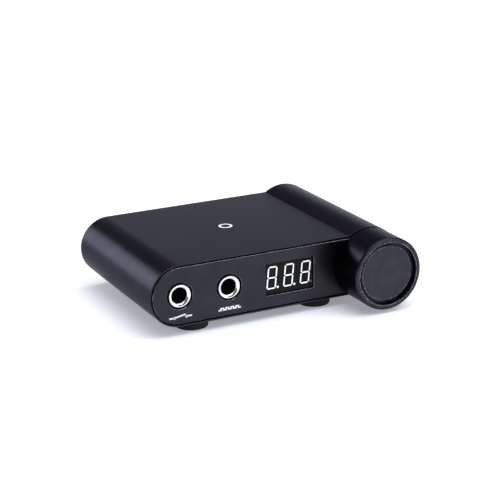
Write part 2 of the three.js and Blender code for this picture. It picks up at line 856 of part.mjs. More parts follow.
const deckZ = boardTop + seat;
const powerRowY = (plateBack + socketBodyLength + backPlateInner - inletBodyLength) / 2;
const inductorRadius = 6.2;
const inductorHeight = 8;
const inputCapacitorRadius = 5;
const outputCapacitorRadius = 4;
const capacitorHeight = 11.5;
const regulatorSize = [10, 9, 4.4];
const sinkSize = [18, 14, 7];
const sinkFins = 6;
const sinkFinThickness = 1.1;
const sinkBase = 2;

const leadWidth = 4.4;
const leadThickness = 0.8;
const leadSocketSize = [6, 6.4, 5];
const leadSocketX = portRightX - 5;
const leadSocketY = encoderBack + 12;
const leadSocketZ = deckZ + leadSocketSize[2] / 2;

function mainBoard() {
  const notchLeft = windowX - displayWidth / 2 - 0.8;
  const notchRight = windowX + displayWidth / 2 + 0.8;
  const notchBack = displayBack + seat;
  const outline = polygon([
    [boardLeft, boardFront],
    [notchLeft, boardFront],
    [notchLeft, notchBack],
    [notchRight, notchBack],
    [notchRight, boardFront],
    [boardRight, boardFront],
    [boardRight, boardBack],
    [boardLeft, boardBack],
  ]);
  const holes = bracketXs.map((x) => rodZ(studRadius + seat, [0, bodyHeight], [x, bracketScrewY]));
  const ferruleNotches = [footSwitchX, outputX].map((x) => {
    return rodY(ferruleBarrelRadius + air, [0, ferruleBack + air], [x, axisZ]);
  });
  return cut(sweptZ(outline, [boardBottom, boardTop]), ...holes, ...ferruleNotches);
}

function heatSink(x) {
  const [width, depth, height] = sinkSize;
  const base = deckZ + regulatorSize[2] + seat;
  const y = [powerRowY - depth / 2, powerRowY + depth / 2];
  const plate = block([x - width / 2, x + width / 2], y, [base, base + sinkBase]);
  const pitch = (width - sinkFinThickness) / (sinkFins - 1);
  const fins = Array.from({ length: sinkFins }, (_, i) => {
    const left = x - width / 2 + i * pitch;
    return block([left, left + sinkFinThickness], y, [base, base + height]);
  });
  return join(plate, ...fins);
}

// A lead of constant section along a smooth line through the given points.
function lead(points, section) {
  const path = new THREE.CatmullRomCurve3(points.map((point) => new THREE.Vector3(...point)));
  const options = { steps: 20, bevelEnabled: false, extrudePath: path, curveSegments: 2 };
  return solidFrom(new THREE.ExtrudeGeometry(section, options));
}

// The encoder's flat lead runs from its board, over the board guide, to a socket on the main board.
function encoderLead() {
  const start = encoderBack + seat + smallBoardThickness + air;
  const section = polygon([
    [-leadThickness / 2, -leadWidth / 2],
    [leadThickness / 2, -leadWidth / 2],
    [leadThickness / 2, leadWidth / 2],
    [-leadThickness / 2, leadWidth / 2],
  ]);
  const socketFace = leadSocketX + leadSocketSize[0] / 2 + air;
  const route = [
    [tubeX, start, axisZ],
    [tubeX, start + 2.5, axisZ],
    [tubeX - 3, start + 6.5, axisZ],
    [tubeX - 9, leadSocketY - 1, axisZ],
    [boardRight, leadSocketY, axisZ - 1],
    [socketFace + 3, leadSocketY, leadSocketZ],
    [socketFace, leadSocketY, leadSocketZ],
  ];
  return lead(route, section);
}

function boardSet() {
  const group = new THREE.Group();
  const inductorX = boardLeft + 12;
  const inputX = inductorX + inductorRadius + inputCapacitorRadius + 3;
  const outputCapacitorX = inputX + inputCapacitorRadius + outputCapacitorRadius + 2;
  const sinkX = outputCapacitorX + outputCapacitorRadius + sinkSize[0] / 2 + 2;
  const [chipWidth, chipDepth, chipHeight] = regulatorSize;
  const regulator = block(
    [sinkX - chipWidth / 2, sinkX + chipWidth / 2],
    [powerRowY - chipDepth / 2, powerRowY + chipDepth / 2],
    [deckZ, deckZ + chipHeight],
  );
  const rise = (height) => [deckZ, deckZ + height];
  const controllerY = displayBack + 12;
  const controller = block([windowX - 4.5, windowX + 4.5], [controllerY - 4.5, controllerY + 4.5], rise(1.2));
  const [socketWidth, socketDepth, socketHeight] = leadSocketSize;
  const leadSocket = block(
    [leadSocketX - socketWidth / 2, leadSocketX + socketWidth / 2],
    [leadSocketY - socketDepth / 2, leadSocketY + socketDepth / 2],
    rise(socketHeight),
  );
  group.add(piece("main_board", mainBoard(), boardGreen));
  group.add(piece("inductor", rodZ(inductorRadius, rise(inductorHeight), [inductorX, powerRowY]), ferrite));
  const inputCan = rodZ(inputCapacitorRadius, rise(capacitorHeight), [inputX, powerRowY]);
  const outputCan = rodZ(outputCapacitorRadius, rise(capacitorHeight - 1), [outputCapacitorX, powerRowY]);
  group.add(piece("input_capacitor", inputCan, sleeveBlue));
  group.add(piece("output_capacitor", outputCan, sleeveBlue));
  group.add(piece("voltage_regulator", regulator, blackPlastic));
  group.add(piece("heat_sink", heatSink(sinkX), bareAluminium));
  group.add(piece("controller_chip", controller, blackPlastic));
  group.add(piece("encoder_lead_socket", leadSocket, blackPlastic));
  group.add(piece("encoder_lead", encoderLead(), wireGrey));
  return group;
}

// ---- The whole unit -----------------------------------------------------------------------------

const unit = new THREE.Group();
unit.add(enclosure());
unit.add(bracketSet("left", bracketXs[0]));
unit.add(bracketSet("right", bracketXs[1]));
unit.add(socketSet("foot_switch", footSwitchX));
unit.add(socketSet("output", outputX));
unit.add(displaySet());
unit.add(knobSet());
unit.add(inletSet());
unit.add(boardSet());

// Stand the unit on its feet, with the origin under the middle of its box.
const extent = new THREE.Box3().setFromObject(unit, true);
const middle = extent.getCenter(new THREE.Vector3());
unit.position.set(-middle.x, -middle.y, -extent.min.z);

const root = new THREE.Group();
root.add(unit);
export default root;
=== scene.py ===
"""Looks of a slim desktop power unit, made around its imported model.

The unit is a black anodised extrusion with one half-round end and one tubular end. Each solid of
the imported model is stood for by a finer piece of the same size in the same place. Lengths are in
metres; +X runs along the front to the knob end, +Y from the front to the back, +Z up.
"""

import json
import math

import bmesh
import bpy
from mathutils import Matrix, Vector


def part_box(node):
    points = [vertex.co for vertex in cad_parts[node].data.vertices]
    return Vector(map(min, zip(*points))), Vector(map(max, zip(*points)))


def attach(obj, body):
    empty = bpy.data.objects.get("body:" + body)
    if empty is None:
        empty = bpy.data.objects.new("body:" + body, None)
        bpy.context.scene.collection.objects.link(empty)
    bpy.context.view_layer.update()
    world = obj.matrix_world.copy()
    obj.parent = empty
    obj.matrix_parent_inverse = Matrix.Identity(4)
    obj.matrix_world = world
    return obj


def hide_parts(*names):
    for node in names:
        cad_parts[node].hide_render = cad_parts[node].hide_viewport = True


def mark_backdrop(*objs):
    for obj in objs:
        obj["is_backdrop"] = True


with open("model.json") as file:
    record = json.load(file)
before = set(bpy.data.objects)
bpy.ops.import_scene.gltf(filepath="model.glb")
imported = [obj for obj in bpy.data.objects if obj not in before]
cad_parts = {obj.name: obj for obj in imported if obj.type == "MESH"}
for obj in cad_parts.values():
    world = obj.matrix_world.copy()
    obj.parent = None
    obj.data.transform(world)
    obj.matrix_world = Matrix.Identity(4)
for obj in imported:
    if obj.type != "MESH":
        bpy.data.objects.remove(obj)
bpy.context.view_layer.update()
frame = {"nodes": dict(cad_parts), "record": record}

MM = 0.001

# ---- Where things are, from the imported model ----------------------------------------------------

# The gap that seated faces keep.
SEAT = 0.1 * MM

case_low, case_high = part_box("case_shell")
FRONT = case_low.y
BACK = case_high.y
AXIS_Z = (case_low.z + case_high.z) / 2
TUBE_RADIUS = (case_high.z - case_low.z) / 2
TUBE_X = case_high.x - TUBE_RADIUS
END_RADIUS = AXIS_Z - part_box("foot_front_left")[1].z - SEAT
END_X = case_low.x + END_RADIUS
FLAT_TOP = AXIS_Z + END_RADIUS

front_plate_low, front_plate_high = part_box("front_plate")
PANEL_FACE = front_plate_low.y
PANEL_BACK = front_plate_high.y
PANEL_INSET = front_plate_low.x - case_low.x
rear_plate_low, rear_plate_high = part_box("back_plate")
REAR_FACE = rear_plate_high.y
REAR_INNER = rear_plate_low.y


def middle(node):
    """The centre of a node's box."""
    low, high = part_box(node)
    return (low + high) / 2


def half_width(node):
    """Half of a node's width, which is the radius of a round one."""
    low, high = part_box(node)
    return (high.x - low.x) / 2


SOCKETS = {use: middle(f"{use}_socket_ferrule") for use in ("foot_switch", "output")}
FERRULE_RADIUS = half_width("output_socket_ferrule")

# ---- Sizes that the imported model's boxes don't give ---------------------------------------------

CREASE_FILLET = 0.8 * MM
RIM_WALL = 0.52 * MM
WALL = 1.6 * MM
RIM_EASE = 0.2 * MM
RIM_CHAMFER = 0.12 * MM
RIM_SET_BACK = 0.22 * MM
PANEL_EDGE = 0.32 * MM
SOCKET_HOLE_EDGE = 0.28 * MM
FERRULE_CLEARANCE = 0.7 * MM
FERRULE_BARREL = 4.7 * MM
FERRULE_LIP = 0.25 * MM
FUNNEL_DEPTH = 1.2 * MM
SOCKET_BORE = 3.2 * MM
WINDOW_GAP = 0.2 * MM
WINDOW_CORNER = 0.6 * MM
WINDOW_EDGE = 0.22 * MM
INLET_HOLE = 4.3 * MM
KNOB_RIM_RADIUS = 13.3 * MM
KNOB_RECESS = 2.4 * MM
KNOB_CHAMFER = 0.6 * MM
KNOB_SKIRT = 2.5 * MM
KNOB_SKIRT_DEPTH = 7 * MM
KNOB_HUB = 5.5 * MM
KNOB_HUB_START = 4.1 * MM
SHAFT_RADIUS = 3 * MM
BUSHING_WALL = 0.5 * MM
BUSHING_CLEARANCE = 0.1 * MM
GRUB_HOLE = 1.6 * MM
DIGITS = 3
DIGIT_PITCH = 7.75 * MM
DIGIT_HEIGHT = 9.7 * MM
DIGIT_WIDTH = 4.35 * MM
DIGIT_LEAN = 0.105
DIGIT_SHIFT = -0.1 * MM
DIGIT_RISE = 0.35 * MM
SEGMENT_WIDTH = 0.56 * MM
SEGMENT_GAP = 0.3 * MM
SEGMENT_PLAY = 0.05 * MM
POINT_RADIUS = 0.5 * MM
POINT_GAP = 0.38 * MM
FACE_THICKNESS = 1.2 * MM
LIT_SINK = 0.04 * MM
LIT_EDGE = 0.05 * MM
# Between the two layers of one piece.
HAIR = 0.01 * MM

# ---- Outlines -----------------------------------------------------------------------------------


def arc(centre, radius, start, end, steps):
    """Points along an arc, from one angle to another, both ends included."""
    turn = (end - start) / steps
    angles = [start + turn * i for i in range(steps + 1)]
    return [(centre[0] + radius * math.cos(a), centre[1] + radius * math.sin(a)) for a in angles]


def circle(centre, radius, steps=96):
    return arc(centre, radius, 0, math.tau, steps)[:-1]


def rounded_rectangle(centre, width, height, radius, steps=8):
    points = []
    for quarter, (right, up) in enumerate([(1, 1), (-1, 1), (-1, -1), (1, -1)]):
        corner = (centre[0] + right * (width / 2 - radius), centre[1] + up * (height / 2 - radius))
        start = quarter * math.pi / 2
        points += arc(corner, radius, start, start + math.pi / 2, steps)
    return points


def case_outline(inset):
    """The case's section taken in by an inset: half-round end, two flats, and the tube, which the
    flats meet in a small hollow fillet."""
    fillet_z = END_RADIUS + CREASE_FILLET
    fillet_x = TUBE_X - math.sqrt((TUBE_RADIUS + CREASE_FILLET) ** 2 - fillet_z**2)
    meet = math.atan2(fillet_z, fillet_x - TUBE_X)
    hollow = CREASE_FILLET + inset
    upper = (fillet_x, AXIS_Z + fillet_z)
    lower = (fillet_x, AXIS_Z - fillet_z)
    flat = END_RADIUS - inset
    margin = 0.5 * MM
    return [
        *arc(upper, hollow, -math.pi / 2, meet - math.pi, 8),
        *arc((TUBE_X, AXIS_Z), TUBE_RADIUS - inset, meet, -meet, 120)[1:],
        *arc(lower, hollow, math.pi - meet, math.pi / 2, 8)[1:],
        (fillet_x - margin, AXIS_Z - flat),
        (END_X + margin, AXIS_Z - flat),
        *arc((END_X, AXIS_Z), flat, -math.pi / 2, -1.5 * math.pi, 72),
        (END_X + margin, AXIS_Z + flat),
        (fillet_x - margin, AXIS_Z + flat),
    ]


def eased(corners):
    """An outline whose corners are rounded. Each corner is (across, along, radius)."""
    points = []
    for i, (across, along, radius) in enumerate(corners):
        here = Vector((across, along))
        if radius == 0:
            points.append(tuple(here))
            continue
        before = (Vector(corners[i - 1][:2]) - here).normalized()
        after = (Vector(corners[(i + 1) % len(corners)][:2]) - here).normalized()
        angle = before.angle(after)
        start = here + before * radius / math.tan(angle / 2)
        centre = here + (before + after).normalized() * radius / math.sin(angle / 2)
        turn = math.copysign(math.pi - angle, after.cross(before))
        steps = max(2, math.ceil(math.degrees(abs(turn)) / 15))
        spoke = start - centre
        first = math.atan2(spoke.y, spoke.x)
        points += arc(tuple(centre), radius, first, first + turn, steps)
    return points


# ---- Making meshes ------------------------------------------------------------------------------

SHARP_ANGLE = math.radians(38)
# Points nearer than this are taken to be in the same place.
COINCIDENT = 1e-7
bodies = frame["record"]["behaviour"]["bodies"]
node_body = {node: body for body, nodes in bodies.items() for node in nodes}


def applied(piece):
    """Turns a piece's modifiers into its mesh."""
    bpy.context.view_layer.update()
    mesh = bpy.data.meshes.new_from_object(piece.evaluated_get(bpy.context.evaluated_depsgraph_get()))
    piece.modifiers.clear()
    piece.data = mesh
    return piece


def finished_mesh(name, bm):
    """A piece from a bmesh, with faces turned out, and smooth but for its sharp edges."""
    bmesh.ops.recalc_face_normals(bm, faces=bm.faces)
    mesh = bpy.data.meshes.new(name)
    bm.to_mesh(mesh)
    bm.free()
    piece = bpy.data.objects.new(name, mesh)
    bpy.context.scene.collection.objects.link(piece)
    mesh.shade_smooth()
    mesh.set_sharp_from_angle(angle=SHARP_ANGLE)
    even = piece.modifiers.new("even_normals", "WEIGHTED_NORMAL")
    even.keep_sharp = True
    return applied(piece)


def bridge(bm, first, second):
    """Quads between two rings of vertices, or triangles to a ring of one."""
    count = max(len(first), len(second))
    for i in range(count):
        j = (i + 1) % count
        near = [first[i % len(first)], first[j % len(first)]]
        far = [second[j % len(second)], second[i % len(second)]]
        bm.faces.new(list(dict.fromkeys(near + far)))


def lofted(name, rings):
    """A tube of closed rings of points, whose last ring meets its first."""
    bm = bmesh.new()
    made = [[bm.verts.new(point) for point in ring] for ring in rings]
    for first, second in zip(made, made[1:] + made[:1]):
        bridge(bm, first, second)
    return finished_mesh(name, bm)


def turned_into(bm, outline, centre, steps, axis="Y"):
    """Adds a turned shape about an axis through centre. The outline's points are (radius, along),
    where along is a place on that axis. It starts and ends on the axis, or it is a closed ring."""
    rings = []
    for radius, along in outline:
        spokes = 1 if radius < COINCIDENT else steps
        ring = []
        for i in range(spokes):
            angle = math.tau * i / steps
            a, b = radius * math.cos(angle), radius * math.sin(angle)
            if axis == "Y":
                place = (centre[0] + a, along, centre[2] + b)
            else:
                place = (centre[0] + a, centre[1] + b, along)
            ring.append(bm.verts.new(place))
        rings.append(ring)
    pairs = list(zip(rings, rings[1:]))
    if len(rings[0]) > 1:
        pairs.append((rings[-1], rings[0]))
    for first, second in pairs:
        bridge(bm, first, second)


def turned(name, outline, centre, steps=128, axis="Y"):
    bm = bmesh.new()
    turned_into(bm, outline, centre, steps, axis)
    return finished_mesh(name, bm)


def plate_into(bm, loops, show_y, hidden_y, eases):
    """Adds a flat plate in X and Z: the first loop is its outline and the others are holes. The
    show face's edges are rounded over, each loop by its own ease."""
    loop_of = bm.verts.layers.int.get("loop") or bm.verts.layers.int.new("loop")
    edges = []
    for number, points in enumerate(loops, start=1):
        verts = [bm.verts.new((x, show_y, z)) for x, z in points]
        for vert in verts:
            vert[loop_of] = number
        edges += [bm.edges.new(pair) for pair in zip(verts, verts[1:] + verts[:1])]
    filled = bmesh.ops.triangle_fill(bm, edges=edges, use_beauty=True)
    faces = [item for item in filled["geom"] if isinstance(item, bmesh.types.BMFace)]
    extruded = bmesh.ops.extrude_face_region(bm, geom=faces)
    moved = [item for item in extruded["geom"] if isinstance(item, bmesh.types.BMVert)]
    bmesh.ops.translate(bm, verts=moved, vec=(0, hidden_y - show_y, 0))
    for number, ease in enumerate(eases, start=1):
        if not ease:
            continue
        rim = [
            edge for edge in bm.edges
            if all(v[loop_of] == number and abs(v.co.y - show_y) < COINCIDENT for v in edge.verts)
            and edge.calc_face_angle(0) > 1
        ]
        bmesh.ops.bevel(bm, geom=rim, offset=ease, segments=3, profile=0.5, affect="EDGES")
    for vert in bm.verts:
        vert[loop_of] = 0


def plate(name, loops, show_y, hidden_y, eases):
    bm = bmesh.new()
    plate_into(bm, loops, show_y, hidden_y, eases)
    return finished_mesh(name, bm)


def softened(name, node, ease, segments=2):
    """A finer copy of a CAD node, with its flats made whole and its edges rounded over."""
    bm = bmesh.new()
    bm.from_mesh(frame["nodes"][node].data)
    bmesh.ops.remove_doubles(bm, verts=bm.verts, dist=1e-6)
    bmesh.ops.dissolve_limit(bm, angle_limit=math.radians(1), verts=bm.verts, edges=bm.edges)
    piece = finished_mesh(name, bm)
    rounding = piece.modifiers.new("rounding", "BEVEL")
    rounding.width = ease
    rounding.segments = segments
    rounding.limit_method = "ANGLE"
    rounding.angle_limit = math.radians(40)
    rounding.use_clamp_overlap = True
    rounding.harden_normals = True
    return applied(piece)


def cut(piece, cutter):
    """Takes a cutter out of a piece, and the cutter away."""
    taking = piece.modifiers.new("cut", "BOOLEAN")
    taking.operation = "DIFFERENCE"
    taking.object = cutter
    applied(piece)
    bpy.data.objects.remove(cutter)
    return piece


def bored(piece, radius, start, end):
    """Drills a round hole through a piece, from one point to another."""
    bm = bmesh.new()
    length = (end - start).length
    turned_into(bm, [(0, 0), (radius, 0), (radius, length), (0, length)], (0, 0, 0), 48, "Z")
    drill = finished_mesh("drill", bm)
    lean = Vector((0, 0, 1)).rotation_difference(end - start)
    drill.data.transform(Matrix.Translation(start) @ lean.to_matrix().to_4x4())
    return cut(piece, drill)


def stands_for(piece, *nodes, finish):
    """The piece is shown instead of its nodes, rides on their body, and takes the given finish."""
    piece.data.materials.clear()
    piece.data.materials.append(finish)
    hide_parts(*nodes)
    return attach(piece, node_body[nodes[0]])


def added(piece, beside, finish):
    """The piece has no node of its own, and rides with a node that it is fixed to."""
    piece.data.materials.clear()
    piece.data.materials.append(finish)
    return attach(piece, node_body[beside])


# ---- Finishes -----------------------------------------------------------------------------------


class Field:
    """A value that varies over a surface. Arithmetic on it adds the nodes that work it out."""

    def __init__(self, finish, socket):
        self.finish = finish
        self.socket = socket

    def maths(self, operation, *values):
        return self.finish.node("ShaderNodeMath", {"operation": operation}, dict(enumerate(values)))

    def __add__(self, other):
        return self.maths("ADD", self, other)

    __radd__ = __add__

    def __mul__(self, other):
        return self.maths("MULTIPLY", self, other)

    __rmul__ = __mul__

    def __sub__(self, other):
        return self.maths("SUBTRACT", self, other)

    def __rsub__(self, other):
        return self.maths("SUBTRACT", other, self)

    def __abs__(self):
        return self.maths("ABSOLUTE", self)

    def rise(self, low, high):
        """0 below low, 1 above high, and a smooth step between them."""
        limits = {"Value": self, "From Min": low, "From Max": high}
        return self.finish.node("ShaderNodeMapRange", {"interpolation_type": "SMOOTHSTEP"}, limits)


class Finish:
    """A material: its constants sit on the shader's own sockets, and fields feed the rest."""

    def __init__(self, name, **constants):
        self.material = bpy.data.materials.new(name)
        self.material.use_nodes = True
        self.tree = self.material.node_tree
        self.shader = self.tree.nodes["Principled BSDF"]
        for socket, value in constants.items():
            self.shader.inputs[socket.replace("_", " ")].default_value = value

    def node(self, kind, settings=None, inputs=None, output=0):
        """Adds a node, sets its settings, then its inputs from values or fields."""
        made = self.tree.nodes.new(kind)
        for name, value in (settings or {}).items():
            setattr(made, name, value)
        for socket, value in (inputs or {}).items():
            if isinstance(value, Field):
                self.tree.links.new(value.socket, made.inputs[socket])
            else:
                made.inputs[socket].default_value = value
        return Field(self, made.outputs[output])

    def feed(self, **fields):
        """Links fields to the shader's sockets."""
        for socket, field in fields.items():
            self.tree.links.new(field.socket, self.shader.inputs[socket.replace("_", " ")])
        return self.material

    def place(self, stretch=(1, 1, 1)):
        """The point on the piece, in metres, stretched along each axis."""
        here = self.node("ShaderNodeTexCoord", output="Object")
        if stretch == (1, 1, 1):
            return here
        return self.node("ShaderNodeVectorMath", {"operation": "MULTIPLY"}, {0: here, 1: stretch})

    def along(self, axis):
        """The place along one axis, in metres."""
        return self.node("ShaderNodeSeparateXYZ", inputs={"Vector": self.place()}, output=axis)

    def radius(self, centre):
        """The distance from a line along Y through a point, in metres."""
        x = self.along("X") - centre.x
        z = self.along("Z") - centre.z
        squared = x * x + z * z
        return squared.maths("SQRT", squared)

    def grain(self, size, detail=2.0, stretch=(1, 1, 1)):
        """Smooth noise from 0 to 1, whose lumps are about size across."""
        inputs = {"Vector": self.place(stretch), "Scale": 1 / size, "Detail": detail}
        return self.node("ShaderNodeTexNoise", inputs=inputs)

    def specks(self, size):
        """Distance from the nearest of many scattered points, as a share of their spacing."""
        return self.node("ShaderNodeTexVoronoi", inputs={"Vector": self.place(), "Scale": 1 / size})

    def mixed(self, factor, first, second):
        """A colour between two, by a field."""
        inputs = {0: factor, 6: first, 7: second}
        return self.node("ShaderNodeMix", {"data_type": "RGBA"}, inputs, output=2)

    def bump(self, height, depth, strength=1.0):
        """The surface's normal, for a relief whose full height is depth."""
        inputs = {"Height": height, "Distance": depth, "Strength": strength}
        return self.node("ShaderNodeBump", inputs=inputs)


def grey(value, blue=1.0):
    """A neutral tone, a little bluer if asked."""
    return (value, value, value * blue, 1.0)


# How strongly the dyed oxide reflects at a glancing angle.
OXIDE_EDGE = (0.5, 0.5, 0.52, 1.0)


def blasted_anodising(name, painted_highlight_depths=None):
    """Fine bead-blasted black anodising: an even satin with a sparkle of grain, drawn very faintly
    along the extrusion. Given two depths in from the case's ends, the edges between them carry pale
    specks: a painted highlight that stands in for the light the bevel catches."""
    finish = Finish(name, Metallic=1.0, Specular_Tint=OXIDE_EDGE)
    grain = finish.grain(0.16 * MM, 3)
    cloud = finish.grain(9 * MM, 2)
    draw = finish.grain(0.7 * MM, 2, (1, 0.012, 1))
    tone = grain * 0.5 + cloud * 0.3 + draw * 0.2
    colour = finish.mixed(tone.rise(0.3, 0.7), grey(0.028, 1.16), grey(0.039, 1.2))
    if painted_highlight_depths:
        depth = (BACK - FRONT) / 2 - abs(finish.along("Y") - (BACK + FRONT) / 2)
        fade = 0.04 * MM
        past_start, past_end = [depth.rise(limit - fade, limit + fade) for limit in painted_highlight_depths]
        # Painted highlight: pale specks on the edge bevel, standing in for the light that it catches.
        specks = finish.grain(0.6 * MM, 3).rise(0.36, 0.6)
        colour = finish.mixed(past_start * (1 - past_end) * specks, colour, grey(0.4, 1.1))
    relief = grain * 0.8 + draw * 0.2
    return finish.feed(
        Base_Color=colour,
        Roughness=0.25 + 0.08 * grain + 0.04 * cloud,
        Normal=finish.bump(relief, 0.012 * MM, 0.5),
    )


def smooth_anodising():
    """The knob, turned and anodised: smoother than the case, with the finest rings of turning left.
    Its front face is flecked with pale specks, most of all along the rim's inner edge: partly wear, and
    partly a painted highlight for the light that edge catches."""
    finish = Finish("smooth_anodising", Metallic=1.0, Specular_Tint=OXIDE_EDGE)
    grain = finish.grain(0.2 * MM, 3)
    rings = finish.grain(0.25 * MM, 2, (0.02, 1, 0.02))
    behind_face = finish.along("Y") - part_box("knob_body")[0].y
    face = 1 - (behind_face + 0.4 * MM * finish.grain(1.4 * MM)).rise(0.05 * MM, 0.6 * MM)
    specks = finish.grain(0.5 * MM, 3).rise(0.42, 0.62)
    spread = finish.radius(middle("knob_body"))
    inner_edge = 1 - spread.rise(KNOB_RIM_RADIUS + 0.3 * MM, KNOB_RIM_RADIUS + 0.6 * MM)
    body = finish.mixed(grain.rise(0.3, 0.7), grey(0.018, 1.2), grey(0.026, 1.25))
    return finish.feed(
        # Partly wear, partly painted highlight: pale specks on the front face, densest along the rim's
        # inner edge.
        Base_Color=finish.mixed(face * specks * (0.2 + 0.8 * inner_edge), body, grey(0.27, 1.1)),
        Roughness=0.26 + 0.07 * grain + 0.05 * rings,
        Normal=finish.bump(rings * 0.6 + grain * 0.4, 0.008 * MM, 0.5),
    )


def grained_inlay():
    """The knob's disc: matt and sandy, with pale specks where its edge is worn."""
    finish = Finish("grained_inlay", Specular_IOR_Level=0.4, Specular_Tint=(0.86, 0.88, 1.0, 1.0))
    sand = finish.grain(0.32 * MM, 4)
    cloud = finish.grain(4 * MM, 3)
    specks = finish.grain(0.5 * MM, 3).rise(0.46, 0.66)
    edge = half_width("knob_face_disc")
    near_edge = finish.radius(middle("knob_face_disc")).rise(edge - 1.2 * MM, edge - 0.3 * MM)
    tone = (sand * 0.6 + cloud * 0.4).rise(0.3, 0.72)
    body = finish.mixed(tone, grey(0.016, 1.15), grey(0.038, 1.2))
    return finish.feed(
        Base_Color=finish.mixed(near_edge * specks, body, grey(0.16)),
        Roughness=0.62 + 0.2 * sand,
        Normal=finish.bump(sand, 0.03 * MM, 0.7),
    )


def polished_plating():
    """Bright plating with a few hairline scratches; past the mouth the bore turns rough and is painted
    near-black as shade.
    """
    finish = Finish("polished_plating", Metallic=1.0)
    hairline = finish.grain(0.3 * MM, 2, (1, 0.1, 0.4))
    haze = finish.grain(2 * MM)
    mouth_end = PANEL_FACE + FUNNEL_DEPTH
    inside = (finish.along("Y") - mouth_end).rise(-0.1 * MM, 0.2 * MM)
    bright = finish.mixed(haze, grey(0.8), grey(0.88))
    return finish.feed(
        # Painted shade: the bore past the mouth is coloured near-black.
        Base_Color=finish.mixed(inside, bright, grey(0.03)),
        Roughness=0.07 + 0.07 * hairline + 0.4 * inside,
        Normal=finish.bump(hairline, 0.002 * MM, 0.25),
    )


def metal(name, pale, dark, roughness, streak=(1, 1, 1)):
    """Plain metal in two tones, with its machining or plating as fine streaks."""
    finish = Finish(name, Metallic=1.0)
    streaks = finish.grain(0.25 * MM, 3, streak)
    cloud = finish.grain(3 * MM)
    return finish.feed(
        Base_Color=finish.mixed(streaks * 0.6 + cloud * 0.4, dark, pale),
        Roughness=roughness + 0.12 * streaks,
        Normal=finish.bump(streaks, 0.004 * MM, 0.4),
    )


def moulded(name, tone, roughness, texture=0.25 * MM, specular=0.5):
    """Moulded plastic or rubber, with the spark texture of its tool."""
    finish = Finish(name, Specular_IOR_Level=specular)
    spark = finish.grain(texture, 3)
    cloud = finish.grain(5 * MM, 2)
    dark = tuple(channel * 0.75 for channel in tone[:3]) + (1.0,)
    return finish.feed(
        Base_Color=finish.mixed(spark * 0.5 + cloud * 0.5, dark, tone),
        Roughness=roughness + 0.12 * spark,
        Normal=finish.bump(spark, 0.02 * MM, 0.5),
    )


def printed_face():
    """The display's face: a black printed film with a faint orange-peel gloss."""
    finish = Finish("printed_face", Specular_IOR_Level=0.1)
    peel = finish.grain(0.8 * MM, 2)
    print_grain = finish.grain(0.2 * MM, 2)
    return finish.feed(
        Base_Color=finish.mixed(print_grain, grey(0.006, 1.1), grey(0.01, 1.12)),
        Roughness=0.3 + 0.1 * print_grain,
        Normal=finish.bump(peel, 0.01 * MM, 0.3),
    )


def glowing_resin():
    """White resin lit from behind, a little unevenly."""
    finish = Finish("glowing_resin", Roughness=0.5, Emission_Strength=0.6)
    haze = finish.grain(0.6 * MM, 2)
    return finish.feed(
        Base_Color=finish.mixed(haze, grey(0.8), grey(0.9)),
        Emission_Color=finish.mixed(haze.rise(0.2, 0.8), (0.86, 0.9, 1.0, 1.0), (0.97, 0.98, 1.0, 1.0)),
    )


def unlit_resin():
    """The same resin with nothing behind it."""
    finish = Finish("unlit_resin", Roughness=0.5)
    haze = finish.grain(0.5 * MM, 2)
    return finish.feed(Base_Color=finish.mixed(haze, grey(0.1), grey(0.16)))


def white_ink():
    """Screen-printed white, a little mottled."""
    finish = Finish("white_ink", Roughness=0.55)
    mottle = finish.grain(0.3 * MM, 3)
    return finish.feed(
        Base_Color=finish.mixed(mottle.rise(0.25, 0.7), grey(0.88), grey(0.97)),
        Normal=finish.bump(mottle, 0.006 * MM, 0.4),
    )


def solder_mask():
    """Green solder mask over copper: tracks show as paler runs, with bare tinned pads."""
    finish = Finish("solder_mask", Specular_IOR_Level=0.5)
    runs_x = finish.grain(1.3 * MM, 0, (0.12, 1, 1)).rise(0.5, 0.53)
    runs_y = finish.grain(1.3 * MM, 0, (1, 0.12, 1)).rise(0.52, 0.55)
    tracks = runs_x.maths("MAXIMUM", runs_x, runs_y)
    pads = 1 - finish.specks(2.6 * MM).rise(0.16, 0.19)
    weave = finish.grain(0.5 * MM, 2)
    mask = finish.mixed(tracks, (0.008, 0.05, 0.018, 1), (0.02, 0.12, 0.04, 1))
    return finish.feed(
        Base_Color=finish.mixed(pads, mask, grey(0.6)),
        Metallic=pads,
        Roughness=0.32 + 0.1 * weave,
        Normal=finish.bump(tracks * 0.6 + weave * 0.1 + pads * 0.3, 0.03 * MM, 0.6),
    )


def wound_core():
    """A shielded coil: matt ferrite with faint turns."""
    finish = Finish("wound_core", Specular_IOR_Level=0.3)
    turns = finish.grain(0.5 * MM, 1, (0.02, 0.02, 1))
    dust = finish.grain(0.3 * MM, 4)
    return finish.feed(
        Base_Color=finish.mixed(dust, grey(0.035), grey(0.06)),
        Roughness=0.7 + 0.15 * dust,
        Normal=finish.bump(turns * 0.5 + dust * 0.5, 0.04 * MM, 0.6),
    )


def shrink_sleeve(stripe_x):
    """A capacitor's dark blue sleeve, with the pale band that marks one side."""
    finish = Finish("shrink_sleeve", Specular_IOR_Level=0.5)
    band = 1 - abs(finish.along("X") - stripe_x).rise(1.2 * MM, 1.3 * MM)
    wrinkle = finish.grain(1.5 * MM, 3)
    return finish.feed(
        Base_Color=finish.mixed(band, (0.012, 0.02, 0.07, 1), (0.3, 0.33, 0.38, 1)),
        Roughness=0.25 + 0.15 * wrinkle,
        Normal=finish.bump(wrinkle, 0.03 * MM, 0.5),
    )


def ribbed_ribbon():
    """A flat lead, whose wires show as ribs along it."""
    finish = Finish("ribbed_ribbon", Specular_IOR_Level=0.4)
    turns = finish.along("Z") * (math.tau / (1.1 * MM))
    ribs = turns.maths("SINE", turns)
    scuff = finish.grain(0.8 * MM, 3)
    return finish.feed(
        Base_Color=finish.mixed(scuff, grey(0.2), grey(0.28)),
        Roughness=0.5 + 0.1 * scuff,
        Normal=finish.bump(ribs, 0.08 * MM, 0.6),
    )


